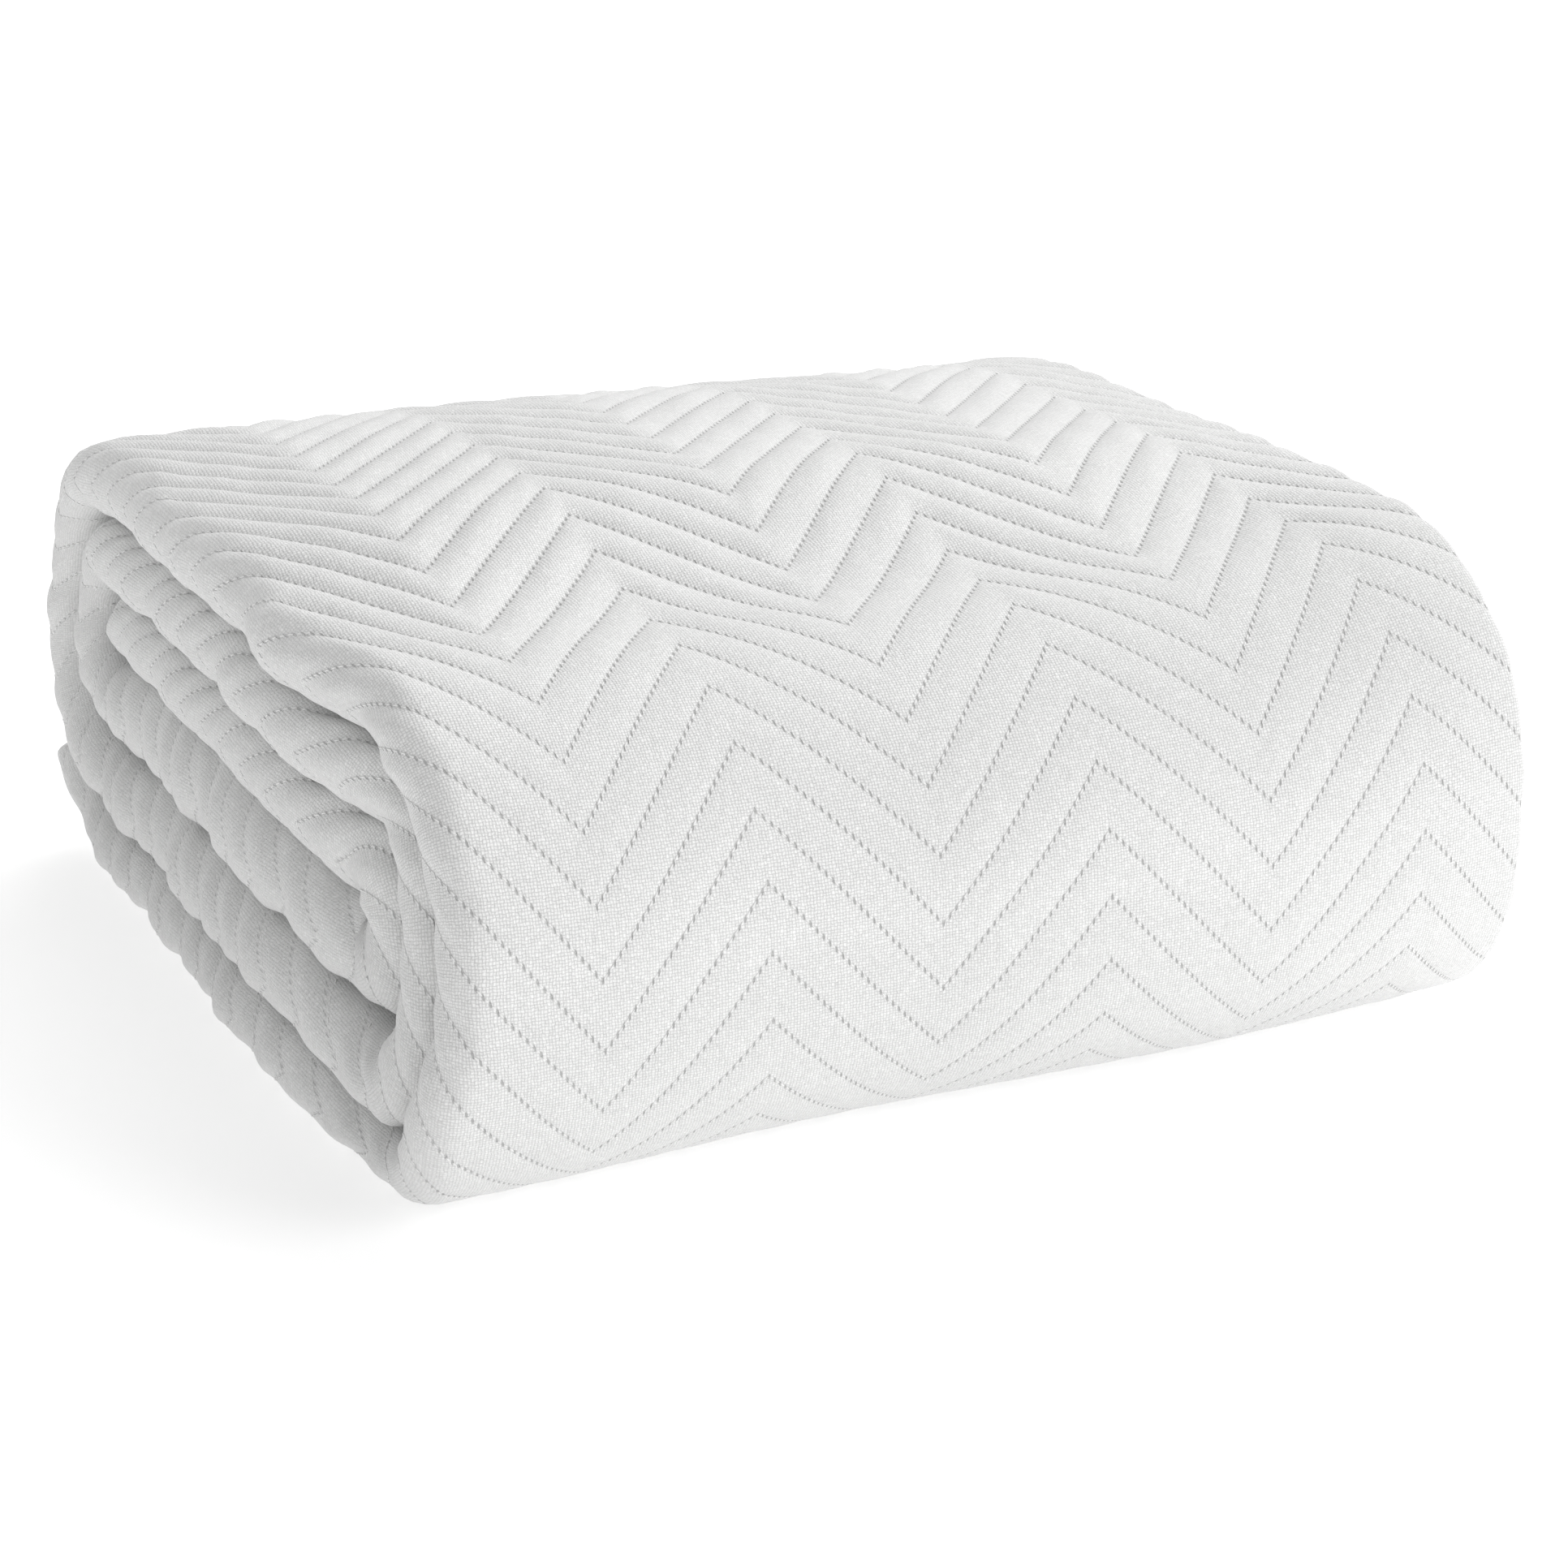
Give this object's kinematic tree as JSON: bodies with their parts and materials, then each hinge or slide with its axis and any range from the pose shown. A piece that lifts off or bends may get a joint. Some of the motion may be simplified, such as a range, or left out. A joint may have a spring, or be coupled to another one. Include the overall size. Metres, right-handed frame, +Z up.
{
  "type": "folded quilted bedspread",
  "caption": "White bedspread quilted in zig-zag channels, folded along its length and rolled up flat into a soft pile.",
  "frame": {"origin": "on the surface the pile rests on, under the middle of its bounding box", "axes": "+Z up through the layers; -Y out of the rounded front; -X out of the rounded lips at the left end"},
  "size_m": [0.408, 0.444, 0.1795],
  "materials": {
    "quilted_cloth": "matt white slubbed plain weave, quilted in zig-zag channels"
  },
  "bodies": {
    "root": {"folded_bedspread": "quilted_cloth"}
  },
  "joints": []
}
